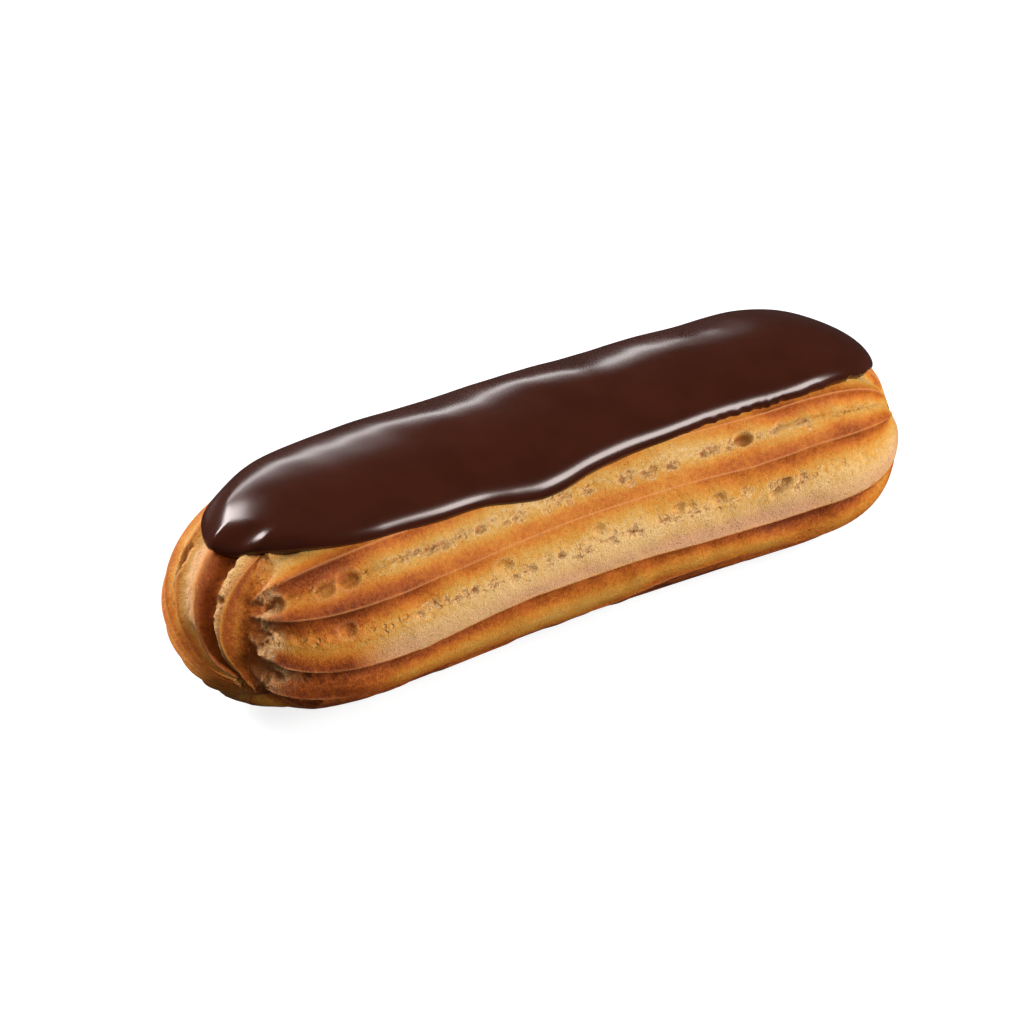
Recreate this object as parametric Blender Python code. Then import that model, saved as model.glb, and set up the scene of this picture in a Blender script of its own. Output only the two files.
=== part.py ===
"""A chocolate eclair: one ridged choux shell, and the thick chocolate icing on its top.

The long axis runs along X, the flat underside lies on z = 0 and the near side faces -Y.
Angles round the shell start on the near side and grow over the top to the far side.
"""

import cmath
import math
from collections import namedtuple

import bmesh
import bpy
from mathutils import Vector

MM = 0.001

# Shell outline, without the icing.
LENGTH = 140 * MM
AXIS_HEIGHT = 19 * MM
LOWER_HALF_HEIGHT = 21 * MM
SECTION_FULLNESS = 2.1
WAIST_PLACE = 0.39
WAIST_NARROWING = 0.2 * MM
WAIST_SAG = 0.4 * MM
BOW = 3.7 * MM
BOW_SKEW = -0.3 * MM
BOW_CENTRE = 2.727 * MM

# The rounded ends. The fan centre is where an end's ridges meet: a share of the end's half
# width toward the near side, and a share of its half height upward.
End = namedtuple("End", "side joint length half_width upper_height fullness fan_centre")
LEFT_END = End(-1, -35.4 * MM, 34.6 * MM, 23.8 * MM, 19.2 * MM, 2.15, complex(0.46, -0.14))
RIGHT_END = End(1, 45.0 * MM, 25.0 * MM, 23.6 * MM, 18.3 * MM, 2.5, complex(0.45, 0.2))

# Piped ridges: each has a sharp crest, an undercut below it and a broad slope to the next.
RIDGE_COUNT = 15
RIDGE_PITCH = math.tau / RIDGE_COUNT
FIRST_CREST = math.radians(-51)
RIDGE_DROPS = (0.8, 0.45, 0.1, 0.0)
UNDERCUT_SHARE = 0.05
SLOPE_BULGE = 1.3
SHALLOW_UNDERCUT = 0.9 * MM
SIDE_UNDERCUT = 1.3 * MM
SIDE_ANGLE = math.radians(-14)
SIDE_SPREAD = math.radians(26)
END_DEEPENING = 1.1
FAN_MELD = 0.4
BASE_ANGLE = math.radians(-90)
BASE_SPREAD = math.radians(34)

# Icing.
ICING_GAP = 0.3 * MM
ICING_THICKNESS = 1.7 * MM
RIM_THICKNESS = 0.2 * MM
RIM_ROUNDING = 2.4 * MM
ICING_LEFT = -62.0 * MM
ICING_RIGHT = 68.0 * MM
ICING_TURN = 25 * MM
ICING_TURN_FULLNESS = 2.05
ICING_HALF_WIDTH = 15.6 * MM
ICING_SWAY = 2.4 * MM
ICING_RUN = 1.9 * MM
ICING_RUN_PLACE = -6 * MM
ICING_RUN_SPREAD = 12 * MM

# Mesh steps.
CAP_RINGS = 13
BODY_RINGS = 25
ICING_SIDE_STEPS = 34
ICING_TURN_STEPS = 16
ICING_SHARES = (1.0, 0.985, 0.955, 0.91, 0.84, 0.6, 0.3, 0.0)
WELD = 0.01 * MM
NORMAL_STEP = 0.05 * MM
SHARP_ANGLE = math.radians(38)


def ease(share):
    """A smooth step from 0 to 1."""
    share = min(max(share, 0.0), 1.0)
    return share * share * (3 - 2 * share)


def swell(away, spread):
    """A bell: 1 in its middle, and near 0 two spreads away."""
    return math.exp(-((away / spread) ** 2))


def swell_round(angle, centre, spread):
    """A bell over an angle round the shell."""
    away = (angle - centre + math.pi) % math.tau - math.pi
    return swell(away, spread)


def section_size(x):
    """Half width and upper height of the shell at a place along its body."""
    share = (x - LEFT_END.joint) / (RIGHT_END.joint - LEFT_END.joint)
    across = ease(share)
    waist = ease(min(share / WAIST_PLACE, (1 - share) / (1 - WAIST_PLACE)))
    width = LEFT_END.half_width + (RIGHT_END.half_width - LEFT_END.half_width) * across
    height = LEFT_END.upper_height + (RIGHT_END.upper_height - LEFT_END.upper_height) * across
    return width - WAIST_NARROWING * waist, height - WAIST_SAG * waist


def bow(x):
    """Place of the bowed long axis across the plan, with the whole plan centred on y = 0."""
    share = x / (LENGTH / 2)
    return BOW * (1 - share**2) + BOW_SKEW * (share**3 - share) - BOW_CENTRE


def section_measure(y, z, half_width, upper_height):
    """How far out an offset lies in the cross-section: 1 on its outline."""
    height = upper_height if z > 0 else LOWER_HALF_HEIGHT
    power = SECTION_FULLNESS
    return (abs(y / half_width) ** power + abs(z / height) ** power) ** (1 / power)


def body_offset(x, angle):
    """Offset from the axis to the smooth outline of the body."""
    y, z = -math.cos(angle), math.sin(angle)
    return Vector((0.0, y, z)) / section_measure(y, z, *section_size(x))


def cap_offset(end, opening, angle):
    """Offset from an end's joint to its smooth outline, along the ridge line of an angle.

    The opening is 0 at the fan centre, where all ridge lines meet, and 1 at the joint.
    """
    centre = end.fan_centre
    rim = cmath.rect(1.0, angle)
    near = opening * (rim - centre) / (1 - centre.conjugate() * rim)
    spot = (near + centre) / (1 + centre.conjugate() * near)
    x = end.side * math.sqrt(max(1 - abs(spot) ** 2, 0.0))
    y, z = -spot.real, spot.imag
    section = section_measure(y, z, end.half_width, end.upper_height)
    power = end.fullness
    return Vector((x, y, z)) / (abs(x / end.length) ** power + section**power) ** (1 / power)


def ridge_depth(angle, drop, opening):
    """How deep the shell lies under its crests, at a share of the pitch below one of them."""
    profile = (1 - math.exp(-drop / UNDERCUT_SHARE)) * (1 - drop) ** SLOPE_BULGE
    undercut = SHALLOW_UNDERCUT + SIDE_UNDERCUT * swell_round(angle, SIDE_ANGLE, SIDE_SPREAD)
    fading = 1 - swell_round(angle, BASE_ANGLE, BASE_SPREAD)
    fan = ease(opening / FAN_MELD) * (1 + END_DEEPENING * math.sqrt(1 - opening**2))
    return profile * undercut * fading * fan


def place(offset, x, depth):
    """A shell point: an offset from the axis, sunk by a depth, bowed and set on z = 0."""
    sunk = offset * (1 - depth / offset.length)
    x += sunk.x
    return Vector((x, sunk.y + bow(x), max(AXIS_HEIGHT + sunk.z, 0.0)))


def ridge_lines():
    """Angle, and share of the pitch below its crest, of every line along the shell."""
    return [
        (FIRST_CREST + RIDGE_PITCH * (ridge - drop), drop)
        for ridge in range(RIDGE_COUNT)
        for drop in RIDGE_DROPS
    ]


def cap_ring(end, opening):
    """One ring of points on an end."""
    return [
        place(cap_offset(end, opening, angle), end.joint, ridge_depth(angle, drop, opening))
        for angle, drop in ridge_lines()
    ]


def body_ring(x):
    """One ring of points on the body."""
    return [
        place(body_offset(x, angle), x, ridge_depth(angle, drop, 1.0))
        for angle, drop in ridge_lines()
    ]


def shell_rings():
    """All rings of the shell from the left end to the right."""
    openings = [math.sin(math.pi / 2 * step / CAP_RINGS) for step in range(1, CAP_RINGS)]
    span = RIGHT_END.joint - LEFT_END.joint
    stations = [LEFT_END.joint + span * step / (BODY_RINGS - 1) for step in range(BODY_RINGS)]
    left = [cap_ring(LEFT_END, opening) for opening in openings]
    body = [body_ring(x) for x in stations]
    right = [cap_ring(RIGHT_END, opening) for opening in reversed(openings)]
    return left + body + right


def bridge(mesh, rings):
    """Joins neighbouring rings of points with faces, and returns their vertices."""
    rows = [[mesh.verts.new(point) for point in ring] for ring in rings]
    for row, following in zip(rows, rows[1:]):
        for i in range(len(row)):
            j = (i + 1) % len(row)
            mesh.faces.new((row[i], row[j], following[j], following[i]))
    return rows


def build_shell():
    """The choux shell as one closed mesh."""
    mesh = bmesh.new()
    rows = bridge(mesh, shell_rings())
    for end, row in ((LEFT_END, rows[0]), (RIGHT_END, rows[-1])):
        tip = mesh.verts.new(place(cap_offset(end, 0.0, 0.0), end.joint, 0.0))
        for i in range(len(row)):
            mesh.faces.new((row[i], row[(i + 1) % len(row)], tip))
    return mesh


def crown_height(x, y):
    """Height of the shell's smooth outline over a point of the plan."""
    end = LEFT_END if x < 0 else RIGHT_END
    half_width, upper_height = section_size(min(max(x, LEFT_END.joint), RIGHT_END.joint))
    beyond = max((x - end.joint) * end.side, 0.0) / end.length
    section = (1 - beyond**end.fullness) ** (1 / end.fullness)
    across = abs(y - bow(x)) / half_width
    power = SECTION_FULLNESS
    return AXIS_HEIGHT + upper_height * (section**power - across**power) ** (1 / power)


def crown_normal(x, y):
    """Unit normal of the shell's smooth outline over a point of the plan."""
    step = NORMAL_STEP
    rise_x = (crown_height(x + step, y) - crown_height(x - step, y)) / (2 * step)
    rise_y = (crown_height(x, y + step) - crown_height(x, y - step)) / (2 * step)
    return Vector((-rise_x, -rise_y, 1.0)).normalized()


def icing_round():
    """Stations going once round the icing: a place on its middle line, and a heading."""
    left, right = ICING_LEFT + ICING_TURN, ICING_RIGHT - ICING_TURN
    span = right - left
    sides = [left + span * step / ICING_SIDE_STEPS for step in range(ICING_SIDE_STEPS + 1)]
    turns = [math.pi * step / ICING_TURN_STEPS for step in range(1, ICING_TURN_STEPS)]
    near = [(x, -math.pi / 2) for x in sides]
    far = [(x, math.pi / 2) for x in reversed(sides)]
    right_turn = [(right, turn - math.pi / 2) for turn in turns]
    left_turn = [(left, turn + math.pi / 2) for turn in turns]
    return near + right_turn + far + left_turn


def full_round(value):
    """A sine or cosine, filled out so that a turn is squarer than a circle."""
    return math.copysign(abs(value) ** (2 / ICING_TURN_FULLNESS), value)


def icing_reach(x, heading):
    """From the icing's middle line to its edge in the plan, at a station."""
    run = ICING_RUN * swell(x - ICING_RUN_PLACE, ICING_RUN_SPREAD) if heading < 0 else 0.0
    half_width = ICING_HALF_WIDTH + run
    return ICING_TURN * full_round(math.cos(heading)), half_width * full_round(math.sin(heading))


def icing_ring(share, lift):
    """One ring of icing points, a share of the way out to its edge, lifted off the shell."""
    ring = []
    for x, heading in icing_round():
        reach_x, reach_y = icing_reach(x, heading)
        spot_x = x + reach_x * share
        spot_y = bow(spot_x) + ICING_SWAY * (spot_x / (LENGTH / 2)) ** 2 + reach_y * share
        rise = lift(math.hypot(reach_x, reach_y) * (1 - share))
        foot = Vector((spot_x, spot_y, crown_height(spot_x, spot_y)))
        ring.append(foot + crown_normal(spot_x, spot_y) * rise)
    return ring


def upper_lift(inward):
    """Height of the icing's upper face over the shell, at a distance in from its edge."""
    share = min(inward / RIM_ROUNDING, 1.0)
    rounding = math.sqrt(1 - (1 - share) ** 2)
    return ICING_GAP + RIM_THICKNESS + (ICING_THICKNESS - RIM_THICKNESS) * rounding


def lower_lift(_inward):
    """Height of the icing's lower face over the shell."""
    return ICING_GAP


def build_icing():
    """The icing as one closed mesh."""
    mesh = bmesh.new()
    lower = [icing_ring(share, lower_lift) for share in reversed(ICING_SHARES)]
    upper = [icing_ring(share, upper_lift) for share in ICING_SHARES]
    bridge(mesh, lower + upper)
    bmesh.ops.remove_doubles(mesh, verts=mesh.verts, dist=WELD)
    return mesh


def surface_material(name, colour, roughness):
    """A plain material with a base colour and a roughness."""
    material = bpy.data.materials.new(name)
    material.use_nodes = True
    shader = material.node_tree.nodes["Principled BSDF"]
    shader.inputs["Base Color"].default_value = (*colour, 1.0)
    shader.inputs["Roughness"].default_value = roughness
    shader.inputs["Metallic"].default_value = 0.0
    return material


def add_object(name, mesh, material):
    """Puts a built mesh in the scene, shaded smooth but for its sharp crests."""
    bmesh.ops.recalc_face_normals(mesh, faces=mesh.faces)
    data = bpy.data.meshes.new(name)
    mesh.to_mesh(data)
    mesh.free()
    data.materials.append(material)
    data.shade_smooth()
    data.set_sharp_from_angle(angle=SHARP_ANGLE)
    bpy.context.scene.collection.objects.link(bpy.data.objects.new(name, data))


for leftover in list(bpy.data.objects):
    bpy.data.objects.remove(leftover, do_unlink=True)

baked_choux = surface_material("baked_choux", (0.62, 0.31, 0.09), 0.6)
dark_chocolate = surface_material("dark_chocolate", (0.045, 0.012, 0.007), 0.2)

add_object("choux_shell", build_shell(), baked_choux)
add_object("chocolate_icing", build_icing(), dark_chocolate)
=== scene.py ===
"""A chocolate eclair on a pale floor: a ridged, porous choux shell under glossy chocolate icing.

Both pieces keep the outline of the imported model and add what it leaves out: the torn and
bubbled valleys between the piped ridges, and the drape and unevenness of the icing.
"""

import math
from collections import namedtuple

import bmesh
import bpy
import numpy as np
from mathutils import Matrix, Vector


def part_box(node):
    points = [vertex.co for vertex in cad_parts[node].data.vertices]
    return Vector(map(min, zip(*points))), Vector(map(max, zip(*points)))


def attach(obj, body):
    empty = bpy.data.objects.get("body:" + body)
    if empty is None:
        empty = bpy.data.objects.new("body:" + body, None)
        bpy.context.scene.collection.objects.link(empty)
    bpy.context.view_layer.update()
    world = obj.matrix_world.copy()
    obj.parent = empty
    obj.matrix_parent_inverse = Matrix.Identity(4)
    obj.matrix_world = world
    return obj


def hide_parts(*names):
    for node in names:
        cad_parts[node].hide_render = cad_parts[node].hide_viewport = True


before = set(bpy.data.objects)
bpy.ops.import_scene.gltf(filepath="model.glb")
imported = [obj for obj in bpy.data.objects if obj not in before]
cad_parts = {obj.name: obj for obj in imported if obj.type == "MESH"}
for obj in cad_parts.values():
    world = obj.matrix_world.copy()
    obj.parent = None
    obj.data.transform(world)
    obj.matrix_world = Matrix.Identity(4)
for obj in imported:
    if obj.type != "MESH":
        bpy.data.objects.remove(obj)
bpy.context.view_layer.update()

MM = 0.001
shell_low, shell_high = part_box("choux_shell")

# -------- outline, as in the CAD
LENGTH = shell_high.x - shell_low.x
AXIS_HEIGHT = 19 * MM
LOWER_HALF_HEIGHT = 21 * MM
SECTION_FULLNESS = 2.1
WAIST_PLACE = 0.39
WAIST_NARROWING = 0.2 * MM
WAIST_SAG = 0.4 * MM
BOW = 3.7 * MM
BOW_SKEW = -0.3 * MM
BOW_CENTRE = 2.727 * MM

End = namedtuple("End", "side joint length half_width upper_height fullness fan_centre")
LEFT = End(-1, -35.4 * MM, 34.6 * MM, 23.8 * MM, 19.2 * MM, 2.15, 0.48 - 0.20j)
RIGHT = End(1, 45.0 * MM, 25.0 * MM, 23.6 * MM, 18.3 * MM, 2.5, 0.45 + 0.20j)

# -------- ridges
PITCH = 24.0
FIRST_CREST = -51.0
CREST_1, CREST_2, CREST_3 = 117.0, 93.0, 69.0
CREST_A, CREST_B, CREST_C, CREST_D = 45.0, 21.0, -3.0, -27.0

# Columns of the grid in the pitch below each crest, finest on the near side, and how much they
# crowd toward the crests.
BAND_STEPS = {-51: 24, -27: 28, -3: 30, 21: 32, 45: 32, 69: 26, 93: 20, 117: 18, 141: 26,
              165: 22, 189: 12, 213: 10, 237: 6, 261: 5, 285: 5}
STEP_CROWDING = 0.4
SKIN_INSET = 0.03 * MM
LEFT_RINGS, BODY_RINGS, RIGHT_RINGS = 140, 220, 80
LEFT_RULER, RIGHT_RULER = 85, 20

# How far each near crest strays from its nominal angle, in degrees, at places along X in mm.
CREST_DRIFTS = {
    CREST_B: ((-36, 0), (-16, 3), (18, 3), (32, 1), (46, 3)),
    CREST_C: ((-36, 0), (-30, -3), (-20, -0.4), (-12, 1), (0, -0.2), (12, -1.7), (20, -3),
              (37, -4.2), (46, -3)),
    CREST_D: ((-36, 0), (-24, 2), (-10, -2), (4, -4), (16, 2), (27, 2), (46, -4)),
}

# The ridges over the top and the far side lean over at the left end, and stand straight again
# past a place on the body. All ridges wander a little along the body. Angles in degrees.
LEAN, LEAN_CENTRE, LEAN_SPREAD = 11, 122, 42
LEAN_STOP = -5 * MM
SLOW_WANDER, SLOW_RUN, SLOW_TWIST = 0.5, 13 * MM, 2.0
QUICK_WANDER, QUICK_RUN, QUICK_TWIST = 0.3, 5.3 * MM, 5.0
LEFT_WANDER_FADE, RIGHT_WANDER_FADE = 10 * MM, 8 * MM

# The near ridges end at a torn seam on the left end, and run toward a centre of their own.
# Places on an end are shares of its half width and height, and gaps are in degrees.
FRONT_CENTRE = 0.33 + 0.28j
FRONT_DRIFT_C = -3.7
FRONT_TIPS = {CREST_A: 0.36, CREST_B: 0.42, CREST_C: 0.38, CREST_D: 0.52}
SEAM_PLACE, SEAM_LOW_LEAN, SEAM_BEND, SEAM_TOP = 0.46, 0.1, 0.65, 0.6
SEAM_CLEARANCE = 0.01
SEAM_FADE_START, SEAM_FADE = 0.72, 0.25
SEAM_GAP, CREST_GAP = 1.0, 0.6
SEAM_BODY_RUN = 6 * MM
TRACK_STEPS = 200


def ease(share):
    """A smooth step from 0 to 1."""
    share = np.clip(share, 0.0, 1.0)
    return share * share * (3 - 2 * share)


def bell(away, spread):
    """1 in the middle, and near 0 two spreads away."""
    return np.exp(-((away / spread) ** 2))


def around(angle, centre):
    """Signed angle from a centre, in degrees."""
    return (angle - centre + 180) % 360 - 180


def section_size(x):
    """Half width and upper height of the body's section at places along X."""
    share = np.clip((x - LEFT.joint) / (RIGHT.joint - LEFT.joint), 0, 1)
    across = ease(share)
    waist = ease(np.minimum(share / WAIST_PLACE, (1 - share) / (1 - WAIST_PLACE)))
    width = LEFT.half_width + (RIGHT.half_width - LEFT.half_width) * across
    height = LEFT.upper_height + (RIGHT.upper_height - LEFT.upper_height) * across
    return width - WAIST_NARROWING * waist, height - WAIST_SAG * waist


def bow(x):
    """How far the bent middle line lies to the side at places along X."""
    share = x / (LENGTH / 2)
    return BOW * (1 - share**2) + BOW_SKEW * (share**3 - share) - BOW_CENTRE


def section_measure(y, z, half_width, upper_height):
    """Distance from the axis as a share of the section's outline, which is at 1."""
    height = np.where(z > 0, upper_height, LOWER_HALF_HEIGHT)
    power = SECTION_FULLNESS
    return (np.abs(y / half_width) ** power + np.abs(z / height) ** power) ** (1 / power)


def body_points(x, angle):
    """Smooth outline points of the body; x and the angle in degrees broadcast together."""
    turn = np.radians(angle)
    y, z = -np.cos(turn), np.sin(turn)
    measure = section_measure(y, z, *section_size(x))
    return np.stack([x + 0 * y, y / measure + bow(x), z / measure + AXIS_HEIGHT], -1)


def fan_spot(centre, opening, angle):
    """Place on an end's face, as a complex share of its half width and height, on the ridge
    line of an angle: 0 opening is the fan centre and 1 the joint with the body."""
    rim = np.exp(1j * np.radians(angle))
    near = opening * (rim - centre) / (1 - np.conj(centre) * rim)
    return (near + centre) / (1 + np.conj(centre) * near)


def fan_place(centre, spot):
    """Opening and angle in degrees of a place on an end's face, in a fan about a centre."""
    near = (spot - centre) / (1 - np.conj(centre) * spot)
    opening = np.abs(near)
    heading = near / np.maximum(opening, 1e-9)
    return opening, np.degrees(np.angle((heading + centre) / (1 + np.conj(centre) * heading)))


def cap_points(end, spot):
    """Smooth outline points of an end."""
    x = end.side * np.sqrt(np.maximum(1 - np.abs(spot) ** 2, 0))
    y, z = -spot.real, spot.imag
    section = section_measure(y, z, end.half_width, end.upper_height)
    power = end.fullness
    measure = (np.abs(x / end.length) ** power + section**power) ** (1 / power)
    along = end.joint + x / measure
    return np.stack([along, y / measure + bow(along), z / measure + AXIS_HEIGHT], -1)


def wave_field(points, wavelength, seed, count=32):
    """A smooth random field of about unit size, from waves in random directions."""
    rng = np.random.default_rng(seed)
    heading = rng.normal(size=(count, 3))
    heading /= np.linalg.norm(heading, axis=1)[:, None]
    number = math.tau / wavelength * rng.uniform(0.6, 1.5, count)[:, None] * heading
    phase = rng.uniform(0, math.tau, count)
    return np.cos(points @ number.T + phase).sum(-1) / math.sqrt(count / 2)


# -------- grid over the shell
def column_angles():
    """Nominal angles of the grid's columns, each crest exactly on one."""
    angles = []
    for crest in sorted(BAND_STEPS):
        share = np.arange(1, BAND_STEPS[crest] + 1) / BAND_STEPS[crest]
        share -= STEP_CROWDING * np.sin(2 * math.tau * share) / (2 * math.tau)
        angles.extend(crest - PITCH * (1 - share))
    return np.array(angles)


def even_openings(end, angle, count):
    """Openings that cut the ridge line of an angle into even lengths."""
    fine = np.sin(np.linspace(0, math.pi / 2, 2001))
    points = cap_points(end, fan_spot(end.fan_centre, fine, angle))
    run = np.concatenate([[0], np.cumsum(np.linalg.norm(np.diff(points, axis=0), axis=1))])
    return np.interp(np.linspace(0, run[-1], count + 1)[1:], run, fine)


def seam_line(height):
    """Place of the seam across the left end, at a height on it."""
    low = SEAM_LOW_LEAN * np.minimum(height, 0)
    return SEAM_PLACE - low - SEAM_BEND * np.maximum(height, 0) ** 2


def crest_lean(angle):
    """How far the ridges over the top and the far side lean at the left end, in degrees."""
    return LEAN * bell(around(angle, LEAN_CENTRE), LEAN_SPREAD)


def front_track(crest, tip):
    """Opening and angle in the left fan of a near crest, from its tip to the joint."""
    angle = crest + (FRONT_DRIFT_C if crest == CREST_C else 0)
    spots = fan_spot(FRONT_CENTRE, np.linspace(tip, 1, TRACK_STEPS), angle)
    return fan_place(LEFT.fan_centre, spots)


def left_angles(openings, columns):
    """Angles of the grid on the left end: columns follow every crest, and the seam."""
    rows = np.empty((len(openings), len(columns)))
    heights = np.linspace(LEFT.fan_centre.imag + SEAM_CLEARANCE, SEAM_TOP, TRACK_STEPS)
    seam_opening, seam_angle = fan_place(LEFT.fan_centre, seam_line(heights) + 1j * heights)
    order = np.argsort(seam_opening)
    tracks = {crest: front_track(crest, tip) for crest, tip in FRONT_TIPS.items()}
    for row, opening in enumerate(openings):
        seam = np.interp(opening, seam_opening[order], seam_angle[order])
        free = CREST_3 - PITCH / 2
        fade = ease((opening - SEAM_FADE_START) / SEAM_FADE)
        seam += (free + crest_lean(free) - seam) * fade
        knots = {CREST_3: CREST_3 + crest_lean(CREST_3), free: seam}
        least = seam - SEAM_GAP
        for crest, (track_opening, track_angle) in tracks.items():
            place = np.argsort(track_opening)
            angle = np.interp(opening, track_opening[place], track_angle[place])
            knots[crest] = least = min(angle, least - CREST_GAP)
        lowest = CREST_D - 2 * PITCH
        knots[lowest] = lowest
        known = sorted(knots)
        bend = [knots[angle] - angle for angle in known]
        leaning = columns + crest_lean(columns)
        bent = columns + np.interp(columns, known, bend)
        rows[row] = np.where((columns < CREST_3) & (columns > lowest), bent, leaning)
    return rows


columns = column_angles()
left_openings = even_openings(LEFT, LEFT_RULER, LEFT_RINGS)
right_openings = even_openings(RIGHT, RIGHT_RULER, RIGHT_RINGS)[::-1]
left_turn = left_angles(left_openings, columns)
left_spot = fan_spot(LEFT.fan_centre, left_openings[:, None], left_turn)


def crest_drift(x):
    """How far the columns stray along the body with the near crests, in degrees."""
    known = [CREST_D - 2 * PITCH, CREST_D, CREST_C, CREST_B, CREST_A]
    drifts = [np.zeros_like(x)]
    for crest in (CREST_D, CREST_C, CREST_B):
        places, degrees = zip(*CREST_DRIFTS[crest])
        drifts.append(np.interp(x / MM, places, degrees))
    drifts.append(np.zeros_like(x))
    drifts = np.concatenate(drifts, axis=1)
    return np.array([np.interp(columns, known, row, 0, 0) for row in drifts])


right_drift = crest_drift(np.full((1, 1), RIGHT.joint))
right_spot = fan_spot(RIGHT.fan_centre, right_openings[:, None], columns + right_drift)


def body_angles(x):
    """Angles of the grid on the body: the lean fades out and the ridges wander a little."""
    fade = ease((x - LEFT.joint) / LEFT_WANDER_FADE) * ease((RIGHT.joint - x) / RIGHT_WANDER_FADE)
    lean = crest_lean(columns) * ease((x - LEAN_STOP) / (LEFT.joint - LEAN_STOP))
    seam_bend = left_turn[-1] - columns - crest_lean(columns)
    seam_bend = seam_bend * (1 - ease((x - LEFT.joint) / SEAM_BODY_RUN))
    slow = np.sin(x / SLOW_RUN + np.radians(columns) * SLOW_TWIST)
    quick = np.sin(x / QUICK_RUN + np.radians(columns) * QUICK_TWIST)
    wander = SLOW_WANDER * slow + QUICK_WANDER * quick
    return columns + lean + seam_bend + crest_drift(x) + fade * wander


body_x = np.linspace(LEFT.joint, RIGHT.joint, BODY_RINGS + 1)[1:-1][:, None]
smooth = np.concatenate([
    cap_points(LEFT, left_spot),
    body_points(body_x, body_angles(body_x)),
    cap_points(RIGHT, right_spot),
])
rows, width = smooth.shape[:2]
nominal = np.broadcast_to(columns, (rows, width)).copy()
on_left = slice(0, LEFT_RINGS)
on_right = slice(rows - len(right_openings), rows)


def outward_normals(points):
    """Outward unit normals of a grid whose columns go round."""
    along = np.gradient(points, axis=0)
    across = np.roll(points, -1, 1) - np.roll(points, 1, 1)
    normal = np.cross(along, across)
    normal /= np.maximum(np.linalg.norm(normal, axis=-1, keepdims=True), 1e-12)
    middle = np.array([0, 0, AXIS_HEIGHT])
    return normal * np.sign((normal * (points - middle)).sum(-1).mean())


normals = outward_normals(smooth)


# -------- relief of the shell
# Wavelengths of the unevenness of the crust, its depths in mm, and how far it frays the foot of
# an overhang, as a share of the pitch.
SLOW_WAVE, PATCH_WAVE, RAGGED_WAVE, FINE_WAVE = 22 * MM, 7 * MM, 2.6 * MM, 1.3 * MM
SLOW_DEPTH, PATCH_DEPTH, HIGHEST = 0.14, 0.10, -0.1
RAGGED_SHARE, FINE_SHARE = 0.035, 0.02
BODY_FRAYING, END_FRAYING = 0.08, 0.9

# Grooves between the ridges: depths in mm on the body, and how much more on the ends.
GROOVE_DEPTH, END_GROOVE_DEPTH, GROOVE_POWER = 0.22, 0.8, 1.5
TIP_DEPTH, TIP_SHARE = 0.12, 0.05
BASE_ANGLE, BASE_SPREAD = -90, 30

# Overhangs in mm at the middle of the body, and how much more toward its ends.
MIDDLE = 4 * MM
END_RUN = 30 * MM
DEEPENING_START, BROWNING_START = 14 * MM, 10 * MM
UPPER_UNDERCUT, UPPER_DEEPENING = 0.14, 0.75
LONG_UNDERCUT, LONG_DEEPENING = 1.1, 0.9
LOWER_UNDERCUT, FAR_UNDERCUT = 0.35, 0.7
FAR_CREST, FAR_SPREAD = 185, 40

# Places and spreads of looks below a crest, as shares of the pitch.
LINE_SPREAD = 0.016
CRUMB_PLACE, CRUMB_SPREAD = 0.44, 0.16
# The sheen is a painted reflection: pale colour just above crest C and on flanks of the left end.
SHEEN_PLACE, SHEEN_SPREAD, END_SHEEN_SPREAD = 0.9, 0.16, 0.06
RIGHT_PALING, RIGHT_PALING_RUN = 0.10, 20 * MM


def crest_above(angle):
    """The crest over each angle, and the share of the pitch below it."""
    crest = FIRST_CREST + PITCH * np.ceil((angle - FIRST_CREST) / PITCH - 1e-3)
    return crest, np.clip((crest - angle) / PITCH, 0, 1)


# What the mesh carries for each point. A look also holds how deep the point is pressed in.
# The first field is baked browning with painted shade in recesses and low places, the third is
# torn crumb and also painted light on the lower walls of bubbles, the fourth is painted shade in
# pits and holes, and the fifth is a painted sheen on the crust.
FIELDS = ("bake", "line", "torn", "pit", "bloom", "crumb")
Look = namedtuple("Look", ("depth", *FIELDS))

# How dark the crust is below each crest, from the crest to the next one: at the middle of
# the body, then toward its ends. The front bands are for the face of the left end. Besides
# browning, the values hold painted shade: under crest C's overhang, under the icing's edge
# below crest A, and just below each crest on the face of the left end.
BAND_SHARES = (0, 0.1, 0.2, 0.35, 0.5, 0.65, 0.8, 0.92, 1)
ANY_BAND = (0.66, 0.56, 0.40, 0.22, 0.16, 0.22, 0.42, 0.58, 0.66)
FRONT_BAND = (0.92, 0.88, 0.78, 0.60, 0.42, 0.40, 0.66, 0.84, 0.90)
FRONT_LOW_BAND = (0.96, 0.98, 0.98, 0.90, 0.72, 0.64, 0.78, 0.90, 0.96)
BAND_BAKE_AND_SHADE = {
    CREST_A: ((0.45, 0.36, 0.24, 0.10, 0.16, 0.32, 0.52, 0.54, 0.56),
              (0.78, 0.70, 0.52, 0.22, 0.20, 0.40, 0.70, 0.82, 0.84)),
    CREST_B: ((0.56, 0.48, 0.34, 0.18, 0.04, 0.02, 0.08, 0.12, 0.16),
              (0.86, 0.82, 0.62, 0.36, 0.20, 0.10, 0.08, 0.12, 0.20)),
    CREST_C: ((0.62, 0.68, 0.72, 0.66, 0.42, 0.32, 0.40, 0.58, 0.70),
              (0.98, 1.00, 1.00, 0.98, 0.72, 0.48, 0.52, 0.64, 0.72)),
    CREST_D: ((0.60, 0.66, 0.74, 0.78, 0.82, 0.86, 0.90, 0.94, 0.96),
              (0.74, 0.76, 0.78, 0.82, 0.86, 0.88, 0.92, 0.96, 1.00)),
}


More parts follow.
